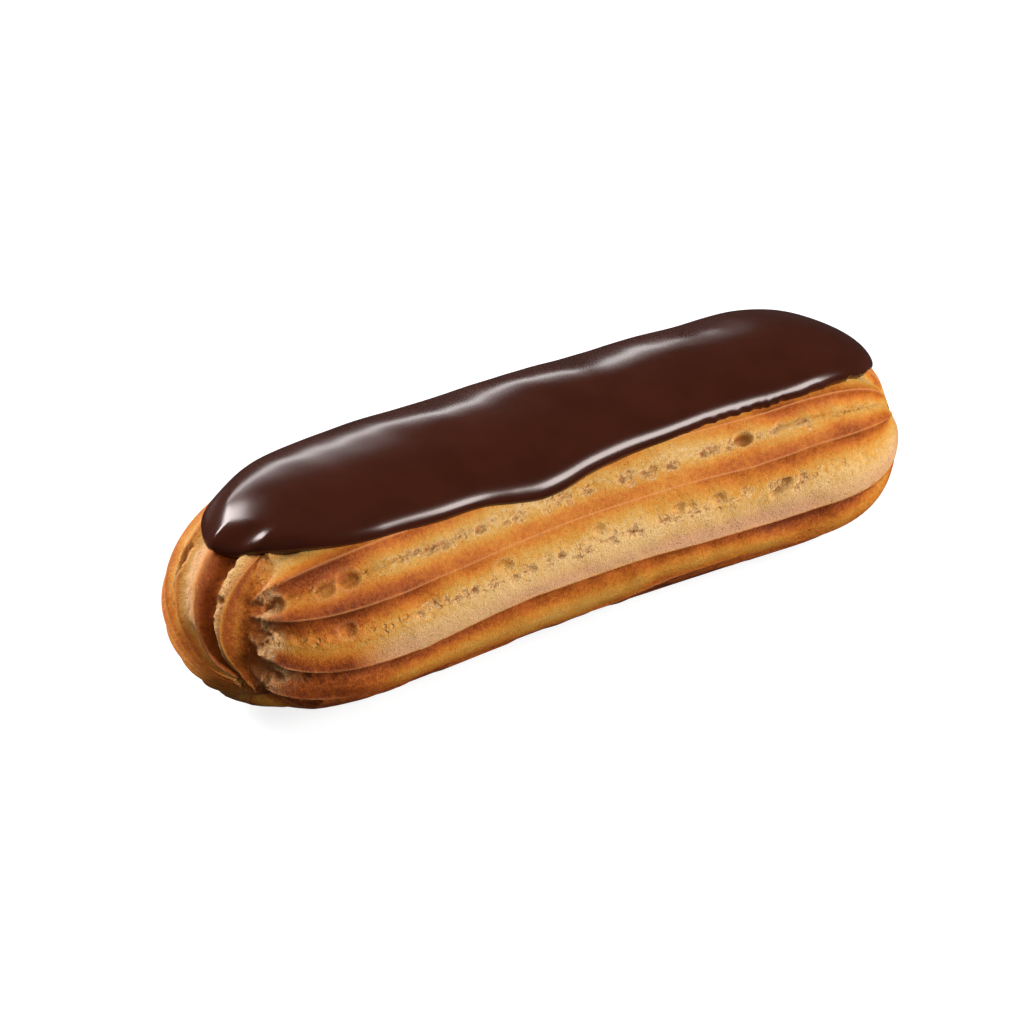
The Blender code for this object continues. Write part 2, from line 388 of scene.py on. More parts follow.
def band_bake_and_shade(crest, drop, toward_end, front_share):
    """Browning and painted shade below each crest; front_share is 1 on the left end's face."""
    bake = np.interp(drop, BAND_SHARES, ANY_BAND)
    for ridge, (middle, end) in BAND_BAKE_AND_SHADE.items():
        here = np.interp(drop, BAND_SHARES, middle) * (1 - toward_end)
        here += np.interp(drop, BAND_SHARES, end) * toward_end
        front = FRONT_LOW_BAND if ridge in (CREST_C, CREST_D) else FRONT_BAND
        here += (np.interp(drop, BAND_SHARES, front) - here) * front_share
        bake = np.where(np.abs(around(crest, ridge)) < 1, here, bake)
    return bake


def undercut_below(crest, x):
    """How far a ridge overhangs the valley below it, away from the ends."""
    toward_end = ease((np.abs(x - MIDDLE) - DEEPENING_START) / END_RUN)
    upper = UPPER_UNDERCUT + UPPER_DEEPENING * toward_end
    upper = upper * (1 - bell(around(crest, CREST_C), 14))
    deep = (LONG_UNDERCUT + LONG_DEEPENING * toward_end) * bell(around(crest, CREST_C), 12)
    lower = LOWER_UNDERCUT * bell(around(crest, CREST_D - 4), 12)
    far = FAR_UNDERCUT * bell(around(crest, FAR_CREST), FAR_SPREAD)
    return (upper + deep + lower + far) * MM


def base_fade(angle):
    """Ridges fade out on the flat underside."""
    return 1 - bell(around(angle, BASE_ANGLE), BASE_SPREAD)


def floor_of(crest):
    """Shares of the pitch below a crest where the floor of its valley ends, and rises for."""
    long_rise = bell(around(crest, CREST_C), 12)
    return 0.30 - 0.18 * long_rise, 0.22 + 0.40 * long_rise


def relief(angle, points, end_share, undercut, floor_end, floor_rise, wall, front_share=0.0):
    """Ridges of one family: at each angle the crest above it, the drop from it, and the looks."""
    crest, drop = crest_above(angle)
    slow = wave_field(points, SLOW_WAVE, 11)
    patch = wave_field(points, PATCH_WAVE, 12)
    ragged = RAGGED_SHARE * wave_field(points, RAGGED_WAVE, 13)
    ragged += FINE_SHARE * wave_field(points, FINE_WAVE, 14)
    frayed_drop = drop + (BODY_FRAYING + END_FRAYING * end_share) * ragged
    lip = 1 - np.exp(-drop / wall)
    tip = 1 - np.exp(-(1 - drop) / TIP_SHARE)
    floor = 1 - ease((frayed_drop - floor_end) / floor_rise)
    under = undercut * (1 + 0.12 * patch) * floor
    groove = (GROOVE_DEPTH + END_GROOVE_DEPTH * end_share) * MM
    groove = groove * np.sin(math.pi * drop) ** GROOVE_POWER
    depth = lip * (under + groove + TIP_DEPTH * MM * tip) * base_fade(angle)
    depth += lip * tip * np.maximum(SLOW_DEPTH * slow + PATCH_DEPTH * patch, HIGHEST) * MM

    x = points[..., 0]
    toward_end = ease((np.abs(x - MIDDLE) - BROWNING_START) / END_RUN)
    toward_end = toward_end * (1 - RIGHT_PALING * ease(x / RIGHT_PALING_RUN))
    above_c = bell(around(crest, CREST_B), 10)
    below_c = bell(around(crest, CREST_C), 10)
    below_d = bell(around(crest, CREST_D), 10)
    # baked browning with painted shade from the band tables, and a random tone
    bake = band_bake_and_shade(crest, drop, toward_end, front_share) + 0.04 * slow + 0.03 * patch
    line = bell(drop, LINE_SPREAD) + bell(1 - drop, LINE_SPREAD)
    # a painted sheen: pale colour for a reflection just above crest C, none on the left end's face
    bloom = above_c * bell(drop - SHEEN_PLACE, SHEEN_SPREAD + END_SHEEN_SPREAD * toward_end)
    bloom = bloom * (0.85 + 0.2 * slow) * (1 - front_share)
    crumb = bell(drop - CRUMB_PLACE, CRUMB_SPREAD) * (1 - 0.75 * below_c - 0.75 * below_d)
    torn, pit = np.zeros_like(drop), np.zeros_like(drop)
    look = Look(np.maximum(depth, 0), bake, line, torn, pit, np.clip(bloom, 0, 1), crumb)
    return crest, drop, look


def blend(first, second, share):
    """The first look where the share is 0, and the second where it is 1."""
    return Look(*[a * (1 - share) + b * share for a, b in zip(first, second)])


# The seam on the left end: a valley, with a torn bank on its right side. Shares of the end's half
# width, and heights on its face as shares of its half height.
SEAM_DEPTH = 2.2 * MM
SEAM_FOOT, SEAM_FOOT_RISE = -0.62, 0.25
SEAM_HEAD, SEAM_HEAD_RISE, SEAM_HEAD_LOSS = 0.25, 0.35, 0.55
SEAM_WAVE, SEAM_FINE_WAVE = 3.2 * MM, 1.3 * MM
RECESS, RECESS_BETWEEN_TIPS, RECESS_RAGGED, RECESS_FINE = 0.020, 0.075, 0.012, 0.008
BANK_WIDTH, LEFT_BANK_SPREAD, TORN_SPREAD = 0.055, 0.11, 0.045
FRONT_WALL = 0.06
FRONT_START, FRONT_RUN = 0.08, 0.3
LOW_START, LOW_RUN, LOW_END_SHARE = 18 * MM, 7 * MM, 0.3
# Darkness of the seam's banks, baked and with painted shade, and of the painted shade low down.
BANK_BAKE_AND_SHADE, LOW_SHADE, LEFT_BANK_BAKE_AND_SHADE = 0.76, 0.14, 0.72
SEAM_BLEND = 0.02


def add_left_end(look, points):
    """The left end: the near ridges stop at a torn seam, the others curl round to its foot."""
    spot = left_spot
    side = spot.real - seam_line(spot.imag)
    end_share = np.clip((LEFT.joint - points[..., 0]) / LEFT.length, 0, 1)
    _, front_angle = fan_place(FRONT_CENTRE, spot)
    true_angles = (-180, CREST_D, CREST_C + FRONT_DRIFT_C, CREST_B, 180)
    front_angle = np.interp(front_angle, true_angles, (-180, CREST_D, CREST_C, CREST_B, 180))
    front_crest, _ = crest_above(front_angle)
    undercut = undercut_below(front_crest, points[..., 0])
    front_share = ease((end_share - FRONT_START) / FRONT_RUN)
    _, front_drop, front = relief(
        front_angle, points, end_share, undercut, *floor_of(front_crest), FRONT_WALL, front_share
    )

    # the seam: a valley along the left bank, and a torn wall with tips on the right one
    height = spot.imag
    strength = ease((height - SEAM_FOOT) / SEAM_FOOT_RISE)
    strength = strength * (1 - SEAM_HEAD_LOSS * ease((height - SEAM_HEAD) / SEAM_HEAD_RISE))
    recess = RECESS + RECESS_BETWEEN_TIPS * np.sin(math.pi * np.clip(front_drop, 0, 1)) ** 2
    recess += RECESS_RAGGED * wave_field(points, SEAM_WAVE, 21)
    recess += RECESS_FINE * wave_field(points, SEAM_FINE_WAVE, 22)
    wall = 1 - ease((side - recess) / BANK_WIDTH)
    valley = SEAM_DEPTH * strength
    left_bank = bell(np.minimum(side, 0), LEFT_BANK_SPREAD) * valley
    right_bank = wall * valley
    torn_right = bell(side - recess - TORN_SPREAD, TORN_SPREAD) * strength
    # painted shade low on the left end's face; the seam's wall baked darker, with painted shade
    low = ease((LOW_START - points[..., 2]) / LOW_RUN) * ease(end_share / LOW_END_SHARE)
    bank_bake_and_shade = BANK_BAKE_AND_SHADE + LOW_SHADE * low - front.bake
    front = front._replace(
        depth=np.maximum(front.depth, right_bank + 0.3 * front.depth),
        torn=0.95 * torn_right * (1 - low),
        bake=front.bake + bank_bake_and_shade * np.clip(wall * strength + 0.6 * low, 0, 1),
    )
    left = Look(*[values[on_left] for values in look])
    # the left bank beside the seam baked darker, with painted shade
    left = left._replace(
        depth=np.maximum(left.depth, left_bank + 0.3 * left.depth),
        bake=left.bake + (LEFT_BANK_BAKE_AND_SHADE - left.bake) * bell(side + 0.01, 0.06) * strength,
        torn=left.torn * (1 - bell(side, 0.1) * strength),
    )
    both = blend(left, front, ease(side / SEAM_BLEND + 0.5))
    for values, part in zip(look, both):
        values[on_left] = part


# How far each point lies past the joints with the ends, as a share of the end's length.
beyond_left = np.clip((LEFT.joint - smooth[..., 0]) / LEFT.length, 0, 1)
beyond_right = np.clip((smooth[..., 0] - RIGHT.joint) / RIGHT.length, 0, 1)
crest_of, _ = crest_above(nominal)
curl = ease(beyond_left / 0.5)

# Overhangs of the curled ridges in mm: of all, of those about crest 2 and of the far ones.
CURL_UNDERCUT, TORN_UNDERCUT, FAR_CURL_UNDERCUT = 0.55, 1.9, 0.5
TORN_VALLEY = 90
BODY_WALL, CURL_WALL = 0.05, 0.07

# How far the colours of each curled ridge reach round, in degrees.
CURL_SPREADS = {CREST_1: 8, CREST_2: 10, CREST_3: 10}

# Stripes of brown on the curled ridges, baked, with painted shade on the walls that face right
# and in the valleys: the crest above, the place and spread below it as shares of the pitch, and
# how brown.
CURL_STRIPES = (
    (CREST_2, 0.0, 0.20, 0.78), (CREST_1, 1.0, 0.18, 0.78), (CREST_2, 0.32, 0.18, 0.84),
    (CREST_3, 0.13, 0.11, 0.84), (CREST_3, 0.42, 0.22, 0.42), (CREST_1, 0.5, 0.3, 0.06),
    (CREST_3, 0.0, 0.04, 0.10),
)
TORN_PLACE, TORN_WIDTH, FLANK_PLACE, FLANK_WIDTH = 0.76, 0.24, 0.55, 0.28
FOOT_TOP, FOOT_RUN = 16 * MM, 8 * MM
LOW_END_TOP = 15 * MM
# How much darker the feet are: painted shade on the left end, browning on the right end.
FOOT_BROWNING_AND_SHADE = 0.30
CENTRE_BAKE, CENTRE_RELIEF = 0.24, 0.2
LEFT_CENTRE_SIZE, RIGHT_CENTRE_SIZE = 0.25, 0.55


def ridge_relief():
    """Ridges over the whole shell: the drop from the crests, and the looks."""
    undercut = CURL_UNDERCUT + TORN_UNDERCUT * bell(around(crest_of, TORN_VALLEY), 15)
    undercut += FAR_CURL_UNDERCUT * bell(around(crest_of, 160), 30)
    body_undercut = undercut_below(crest_of, smooth[..., 0]) * (1 + 0.2 * beyond_right)
    undercut = body_undercut * (1 - curl) + undercut * MM * curl
    floor_end, floor_rise = floor_of(crest_of)
    torn_valley = curl * bell(around(crest_of, TORN_VALLEY), 16)
    floor_end = floor_end + 0.06 * torn_valley - 0.12 * beyond_right
    floor_rise = floor_rise + 0.2 * torn_valley + 0.3 * beyond_right
    end_share = np.maximum(beyond_left, beyond_right)
    wall = BODY_WALL + CURL_WALL * curl
    _, drop, look = relief(nominal, smooth, end_share, undercut, floor_end, floor_rise, wall)
    return drop, look


def colour_ends(look, drop):
    """Stripes of browning and painted shade, torn flank and painted sheen of the curled ridges,
    and
    darker feet: painted shade at the left end, browning at the right one.
    """
    below = {ridge: bell(around(crest_of, ridge), wide) for ridge, wide in CURL_SPREADS.items()}
    height = smooth[..., 2]
    foot = ease((FOOT_TOP - height) / FOOT_RUN) * np.maximum(below[CREST_2], below[CREST_3])
    low_end = ease((LOW_END_TOP - height) / LOW_END_TOP)
    torn_flank = below[CREST_2] * bell(drop - TORN_PLACE, TORN_WIDTH)
    look.torn[...] = curl * torn_flank * (1 - 0.9 * foot)

    goal = weight = 0
    for crest, place, spread, brown in CURL_STRIPES:
        stripe = below[crest] * bell(drop - place, spread)
        goal = goal + brown * stripe
        weight = weight + stripe
    weight = np.maximum(weight, 0.001)
    look.bake[...] += (goal / weight - look.bake) * np.minimum(weight, 1) * curl
    look.bake[...] += FOOT_BROWNING_AND_SHADE * curl * (low_end + foot)
    hidden_foot = ease(beyond_right / 0.3) * (1 - bell(around(nominal, CREST_D), 30))
    look.bake[...] += FOOT_BROWNING_AND_SHADE * low_end * hidden_foot

    # a painted sheen on the flank below crest 1, none low down
    flank = below[CREST_1] * bell(drop - FLANK_PLACE, FLANK_WIDTH)
    look.bloom[...] = np.maximum(look.bloom, 0.8 * curl * flank * (1 - low_end))


def fade_fan_centres(look):
    """Ridges fade where they all meet, and on the right end their colours do too."""
    fade = np.ones((rows, width))
    fade[on_left] = ease(left_openings / LEFT_CENTRE_SIZE)[:, None]
    fade[on_right] = ease(right_openings / RIGHT_CENTRE_SIZE)[:, None]
    look.depth[...] *= CENTRE_RELIEF + (1 - CENTRE_RELIEF) * fade
    lower = ease((CREST_C - nominal[on_right]) / 3)
    tips = ease((right_openings[:, None] - 0.16 + 0.1 * lower) / 0.2)
    look.bake[on_right] = CENTRE_BAKE + (look.bake[on_right] - CENTRE_BAKE) * tips
    look.line[on_right] *= tips
    look.crumb[on_right] *= ease((right_openings[:, None] - 0.3) / 0.5)


drop_of, look = ridge_relief()
colour_ends(look, drop_of)
add_left_end(look, smooth[on_left])
fade_fan_centres(look)


# -------- bubbles and holes
# A bubble's rim: its place, width and outer end as shares of the radius, its height as one of
# the depth.
RIM_PLACE, RIM_WIDTH, RIM_END, RIM_HEIGHT = 1.15, 0.22, 1.8, 0.12


def dent(look, centre, radius, deep, stretch, pit, torn, lower_shade=0.0):
    """Presses one round bubble into the shell, stretched along X.

    Painted shade darkens its upper part, and pale torn colour covers its rim and lower part: on
    the rim that is crumb, on the lower part painted light. The last argument is how much of the
    painted shade the lower part gets, as a share of the upper part.
    """
    away = smooth - centre
    near = np.abs(away).max(-1) < radius * RIM_END * max(stretch, 1)
    away = away[near]
    reach = np.sqrt((away[:, 0] / stretch) ** 2 + away[:, 1] ** 2 + away[:, 2] ** 2) / radius
    bowl = np.clip(1 - reach**2, 0, 1)
    rim = bell(reach - RIM_PLACE, RIM_WIDTH)
    upper = np.maximum(ease(away[:, 2] / radius * 1.2 + 0.45), lower_shade)
    look.depth[near] += deep * np.sqrt(bowl) * (bowl > 0) - RIM_HEIGHT * deep * rim
    look.pit[near] = np.maximum(look.pit[near], pit * ease(bowl * 1.6) * upper)
    look.torn[near] = np.maximum(look.torn[near], torn * np.maximum(rim, bowl * (1 - upper)))


def body_spot(x, angle):
    """One place on the body's smooth outline."""
    return body_points(np.array([x]), np.array([angle]))[0]


def end_spot(end, spot):
    """One place on an end's smooth outline."""
    return cap_points(end, np.array([spot]))[0]


def scatter_bubbles(look):
    """Rows of small bubbles along the middle of each band, in clusters."""
    rng = np.random.default_rng(7)
    for crest in sorted(BAND_STEPS):
        if not CREST_C < crest < 230:
            continue
        x = LEFT.joint - 6 * MM
        while x < RIGHT.joint + 8 * MM:
            cluster = rng.uniform(2, 7) * MM
            middle = crest - PITCH * rng.uniform(0.40, 0.50)
            for _ in range(int(rng.uniform(7, 17))):
                radius = rng.uniform(0.22, 0.62) * MM
                place = x + rng.uniform(0, 1) * cluster
                spot = body_spot(place, middle + rng.normal(0, 1.1))
                deep = radius * rng.uniform(0.2, 0.55)
                stretch, pit = rng.uniform(1, 1.5), rng.uniform(0.3, 0.95)
                if LEFT.joint < place < RIGHT.joint:
                    # painted shade on the bubble's upper wall and painted light on its lower wall
                    dent(look, spot, radius, deep, stretch, pit, 0.9)
            x += cluster + rng.uniform(0.5, 3) * MM


# Larger holes and blisters. On the body: place along X in mm and angle in degrees. On the left
# end: place on its face. Then radius and depth in mm, and how dark each is, as painted shade.
BODY_HOLES = (
    (32.4, 35.4, 1.25, 1.7, 1.0), (-30.3, 33.6, 0.75, 0.5, 0.7), (-27.3, 33.4, 0.8, 0.5, 0.6),
    (-20.1, 34.6, 0.75, 0.6, 0.7), (-34.7, 8.8, 0.7, 0.5, 0.6), (24.0, 34.2, 0.7, 0.6, 0.7),
    (35.4, 7.4, 0.7, 0.8, 0.8), (36.3, 8.2, 0.65, 0.8, 0.8), (37.2, 9.4, 0.6, 0.7, 0.7),
    (38.0, 10.6, 0.7, 0.9, 0.8), (38.8, 11.2, 0.6, 0.8, 0.8), (41.5, 11.1, 0.6, 0.5, 0.5),
    (-17.9, 16.0, 1.2, 0.7, 0.2), (0.8, 17.1, 0.9, 0.6, 0.3), (16.5, 14.1, 1.0, 0.6, 0.2),
    (24.5, 12.8, 1.1, 0.7, 0.3), (19.0, 13.6, 0.8, 0.5, 0.2), (14.0, 35.0, 0.7, 0.5, 0.6),
)
LEFT_HOLES = (
    (0.755 + 0.515j, 1.65, 0.6, 0.8), (0.693 + 0.455j, 1.45, 0.5, 0.7),
    (0.51 + 0.35j, 1.7, 1.0, 0.6), (0.235 + 0.30j, 0.9, 1.2, 1.0), (0.237 + 0.20j, 0.6, 1.0, 1.0),
    (0.284 + 0.06j, 0.5, 0.8, 1.0), (0.404 - 0.137j, 0.7, 0.9, 1.0), (0.43 - 0.18j, 1.0, 1.2, 0.9),
    (0.704 - 0.148j, 0.8, 0.9, 0.9), (0.86 + 0.188j, 1.3, 0.5, 0.55),
)
# Shallow hollows that notch the outline of the right end: place on its face, radius, depth.
RIGHT_HOLLOWS = ((0.42 + 0.25j, 3.2, 1.2), (0.62 - 0.07j, 1.5, 0.5))

# A slit on the left end, widest in its middle: places on its face, sizes in mm.
SLIT_START, SLIT_END, SLIT_STEPS = -0.217 + 0.37j, -0.085 + 0.115j, 19
SLIT_END_RADIUS, SLIT_DEPTH = 0.55, 0.6


def press_holes(look):
    """Larger holes and blisters, the hollows of the right end, and the slit."""
    # each hole, blister and the slit get painted shade in their bowls
    for x, angle, radius, deep, pit in BODY_HOLES:
        dent(look, body_spot(x * MM, angle), radius * MM, deep * MM, 1.4, pit, 0.4)
    for spot, radius, deep, pit in LEFT_HOLES:
        dent(look, end_spot(LEFT, spot), radius * MM, deep * MM, 1.2, pit, 0.2, 0.7)
    for spot, radius, deep in RIGHT_HOLLOWS:
        away = np.linalg.norm(smooth - end_spot(RIGHT, spot), axis=-1)
        look.depth[...] += deep * MM * bell(away, radius * MM)
    for share in np.linspace(0, 1, SLIT_STEPS):
        spot = end_spot(LEFT, SLIT_START + (SLIT_END - SLIT_START) * share)
        radius = SLIT_END_RADIUS * (1 + math.sin(math.pi * share)) * MM
        dent(look, spot, radius, SLIT_DEPTH * MM, 1.0, 1.0, 0.2, 1.0)


CRUMB_WAVE, CRUMB_DEPTH = 0.8 * MM, 0.10 * MM


def roughen_torn_crust(look):
    """Fine lumps where the left end is torn."""
    crumbly = look.torn * ease(beyond_left / 0.2)
    look.depth[...] += CRUMB_DEPTH * crumbly * wave_field(smooth, CRUMB_WAVE, 51)


scatter_bubbles(look)
press_holes(look)
roughen_torn_crust(look)

shell = smooth - normals * (np.maximum(look.depth, 0) + SKIN_INSET)[..., None]
shell[..., 2] = np.maximum(shell[..., 2], 0)


# -------- meshes
def add_object(name, data):
    """A new object in the scene."""
    obj = bpy.data.objects.new(name, data)
    bpy.context.scene.collection.objects.link(obj)
    return obj


def add_mesh(name, points, faces, fields):
    """A smooth-shaded object with a float value per point for each field."""
    mesh = bpy.data.meshes.new(name)
    mesh.from_pydata(points.tolist(), [], faces)
    for label, values in fields.items():
        attribute = mesh.attributes.new(label, "FLOAT", "POINT")
        attribute.data.foreach_set("value", values.astype(np.float32))
    work = bmesh.new()
    work.from_mesh(mesh)
    bmesh.ops.remove_doubles(work, verts=work.verts, dist=0.01 * MM)
    bmesh.ops.recalc_face_normals(work, faces=work.faces)
    work.to_mesh(mesh)
    work.free()
    mesh.shade_smooth()
    return add_object(name, mesh)


def round_faces(rows, width):
    """Quads of a grid whose columns go round."""
    index = np.arange(rows * width).reshape(rows, width)
    across = np.roll(index, -1, 1)
    return np.stack([index[:-1], across[:-1], across[1:], index[1:]], -1).reshape(-1, 4).tolist()


def build_shell():
    """The crust, closed at both ends by a point in the middle of the last ring."""
    tips = np.stack([shell[0].mean(0), shell[-1].mean(0)])
    count = rows * width
    faces = round_faces(rows, width)
    for tip, start in ((count, 0), (count + 1, count - width)):
        faces += [(tip, start + i, start + (i + 1) % width) for i in range(width)]
    fields = {}
    for label in FIELDS:
        values = getattr(look, label)
        fields[label] = np.concatenate([values.reshape(-1), values[[0, -1], 0]])
    points = np.concatenate([shell.reshape(-1, 3), tips])
    return add_mesh("choux_crust", points, faces, fields)


# -------- icing
ICING_LEFT = -61.8 * MM
ICING_RIGHT = 68.0 * MM
ICING_TURN = 25 * MM
ICING_SWAY = 2.4 * MM
FAR_REACH = 15.6 * MM
FAR_FULLNESS, NEAR_LEFT_FULLNESS, NEAR_RIGHT_FULLNESS = 2.05, 1.68, 2.6
# The near edge's distance from the icing's middle line, at places along X, all in mm.
NEAR_REACHES = ((-37, 15.6), (-27, 15.9), (-17, 15.9), (-12, 16.7), (-7.5, 17.2), (-3, 16.9),
                (3, 15.8), (10, 15.1), (20, 14.8), (28, 14.4), (36, 14.5), (43, 14.9))
ICING_THICKNESS = 2.0 * MM
DRAPE_DEPTHS = {141: 0.3 * MM, 117: 0.8 * MM, 93: 1.3 * MM, CREST_3: 0.7 * MM}
DRAPE_EDGE, DRAPE_FADE = 1.5 * MM, 4.5 * MM
RIM_ROUNDING = 3.1 * MM
SWELL_PLACE, SWELL_SPREAD, SWELL_HEIGHT = 4 * MM, 13 * MM, 0.6
FLOW_WAVE, FLOW_HEIGHT = 17 * MM, 0.17
RIPPLE_WAVE, RIPPLE_HEIGHT = 8 * MM, 0.02
NEAR_FLOW, FAR_START, FAR_RUN = 0.35, -7 * MM, 12 * MM
DRAPE_START, DRAPE_RUN = -49 * MM, 6 * MM
SEAT_GAP, UNDERSIDE_DEPTH = 0.3 * MM, 0.9 * MM
CRUMBLY_START, CRUMBLY_RUN = 15 * MM, 20 * MM
CRUMBLY_WAVE, CRUMBLY_FINE_WAVE, CRUMBLY_POWER = 3.5 * MM, 1.5 * MM, 40
SIDE_STEPS, TURN_STEPS = 220, 120
RIM_STEPS, MIDDLE_STEPS, UNDER_STEPS = 12, 30, 8


def crown(x, y):
    """Height of the shell's smooth outline over places of the plan."""
    half_width, upper_height = section_size(np.clip(x, LEFT.joint, RIGHT.joint))
    left = np.maximum((LEFT.joint - x) / LEFT.length, 0) ** LEFT.fullness
    right = np.maximum((x - RIGHT.joint) / RIGHT.length, 0) ** RIGHT.fullness
    section = (1 - left) ** (1 / LEFT.fullness) * (1 - right) ** (1 / RIGHT.fullness)
    across = np.abs(y - bow(x)) / half_width
    power = SECTION_FULLNESS
    rest = np.maximum(section**power - across**power, 1e-4)
    return AXIS_HEIGHT + upper_height * rest ** (1 / power)


def crown_normal(x, y, step=0.05 * MM):
    """Outward unit normal of the crown over places of the plan."""
    rise_x = (crown(x + step, y) - crown(x - step, y)) / (2 * step)
    rise_y = (crown(x, y + step) - crown(x, y - step)) / (2 * step)
    normal = np.stack([-rise_x, -rise_y, np.ones_like(rise_x)], -1)
    return normal / np.linalg.norm(normal, axis=-1, keepdims=True)


def smooth_path(x, points):
    """A curve through a few points, with level slopes at its two ends."""
    places, values = np.array(points, float).T
    slopes = np.gradient(values, places)
    slopes[[0, -1]] = 0
    i = np.clip(np.searchsorted(places, x) - 1, 0, len(places) - 2)
    step = places[i + 1] - places[i]
    t = np.clip((x - places[i]) / step, 0, 1)
    start = values[i] + (values[i + 1] - values[i]) * t * t * (3 - 2 * t)
    return start + step * t * (1 - t) * ((1 - t) * slopes[i] - t * slopes[i + 1])


def full_round(value, fullness):
    """A sine or cosine turned into that of a superellipse."""
    return np.sign(value) * np.abs(value) ** (2 / fullness)


def icing_round():
    """Stations going once round the icing: a place on its middle line, and a heading."""
    left, right = ICING_LEFT + ICING_TURN, ICING_RIGHT - ICING_TURN
    sides = np.linspace(left, right, SIDE_STEPS + 1)
    turns = math.pi * np.arange(1, TURN_STEPS) / TURN_STEPS
    still, quarter = np.zeros(len(turns)), math.pi / 2
    x = np.concatenate([sides, still + right, sides[::-1], still + left])
    side = np.full(len(sides), quarter)
    return x, np.concatenate([-side, turns - quarter, side, turns + quarter])


def icing_ring(share, lift):
    """One ring of the icing: at a share of the way from its middle line to its edge."""
    x, heading = icing_round()
    near = np.sin(heading) < 0
    near_fullness = np.where(np.cos(heading) < 0, NEAR_LEFT_FULLNESS, NEAR_RIGHT_FULLNESS)
    fullness = np.where(near, near_fullness, FAR_FULLNESS)
    half_width = np.where(near, smooth_path(x / MM, NEAR_REACHES) * MM, FAR_REACH)
    reach_x = ICING_TURN * full_round(np.cos(heading), fullness)
    reach_y = half_width * full_round(np.sin(heading), fullness)
    edge = np.stack([x + reach_x, reach_y, 0 * x], -1)
    crumbly = near * ease((x + reach_x - CRUMBLY_START) / CRUMBLY_RUN)
    ragged = 0.006 * wave_field(edge, CRUMBLY_WAVE, 41)
    ragged += 0.005 * wave_field(edge, CRUMBLY_FINE_WAVE, 42)
    ragged = 1 + crumbly * ragged * share**CRUMBLY_POWER
    reach_x, reach_y = reach_x * ragged, reach_y * ragged
    spot_x = x + reach_x * share
    spot_y = bow(spot_x) + ICING_SWAY * (spot_x / (LENGTH / 2)) ** 2 + reach_y * share
    inward = np.hypot(reach_x, reach_y) * (1 - share)
    foot = np.stack([spot_x, spot_y, crown(spot_x, spot_y)], -1)
    return foot + crown_normal(spot_x, spot_y) * lift(foot, inward)[:, None]


def drape(foot, inward):
    """How far the icing sinks into the valleys between the ridges along its left edge."""
    middle = np.full(len(foot), LEFT.joint), bow(foot[:, 0]), np.full(len(foot), AXIS_HEIGHT)
    offset = foot - np.stack(middle, -1)
    offset /= np.linalg.norm(offset, axis=1)[:, None]
    _, angle = fan_place(LEFT.fan_centre, -offset[:, 1] + 1j * offset[:, 2])
    ruler = np.linspace(0, 200, 801)
    angle = np.interp(angle, ruler + crest_lean(ruler), ruler)
    crest, drop = crest_above(angle)
    hollow = np.sin(math.pi * drop) ** 1.3
    depth = sum(deep * bell(crest - ridge, 10) for ridge, deep in DRAPE_DEPTHS.items())
    near_edge = 1 - ease((inward - DRAPE_EDGE) / DRAPE_FADE)
    return depth * hollow * near_edge * ease((DRAPE_START - foot[:, 0]) / DRAPE_RUN)


def upper_lift(foot, inward):
    """How far the icing's upper side lies over the crown; it is evener on the near side."""
    share = np.minimum(inward / RIM_ROUNDING, 1)
    rounding = np.sqrt(1 - (1 - share) ** 2)
    far_side = NEAR_FLOW + (1 - NEAR_FLOW) * ease((foot[:, 1] - FAR_START) / FAR_RUN)
    flow = FLOW_HEIGHT * wave_field(foot * (0.8, 1, 1), FLOW_WAVE, 31)
    flow += RIPPLE_HEIGHT * wave_field(foot, RIPPLE_WAVE, 32)
    flow += SWELL_HEIGHT * bell(foot[:, 0] - SWELL_PLACE, SWELL_SPREAD)
    thickness = ICING_THICKNESS + flow * far_side * MM - SEAT_GAP
    return thickness * rounding - drape(foot, inward)


def lower_lift(foot, inward):
    """The icing's underside lies sunk in the shell."""
    return -UNDERSIDE_DEPTH - drape(foot, inward)


def build_icing():
    """The icing, in rings from the middle of its underside round its rim to its top."""
    turn = np.linspace(0, math.pi / 2, RIM_STEPS)
    rim = 1 - (1 - np.cos(turn)) * (RIM_ROUNDING / FAR_REACH)
    shares = np.concatenate([rim, np.linspace(rim[-1], 0, MIDDLE_STEPS)[1:]])
    under = np.linspace(0, 1, UNDER_STEPS)
    rings = [icing_ring(share, lower_lift) for share in under]
    rings += [icing_ring(share, upper_lift) for share in shares]
    points = np.stack(rings)
    return add_mesh("icing_coat", points.reshape(-1, 3), round_faces(*points.shape[:2]), {})


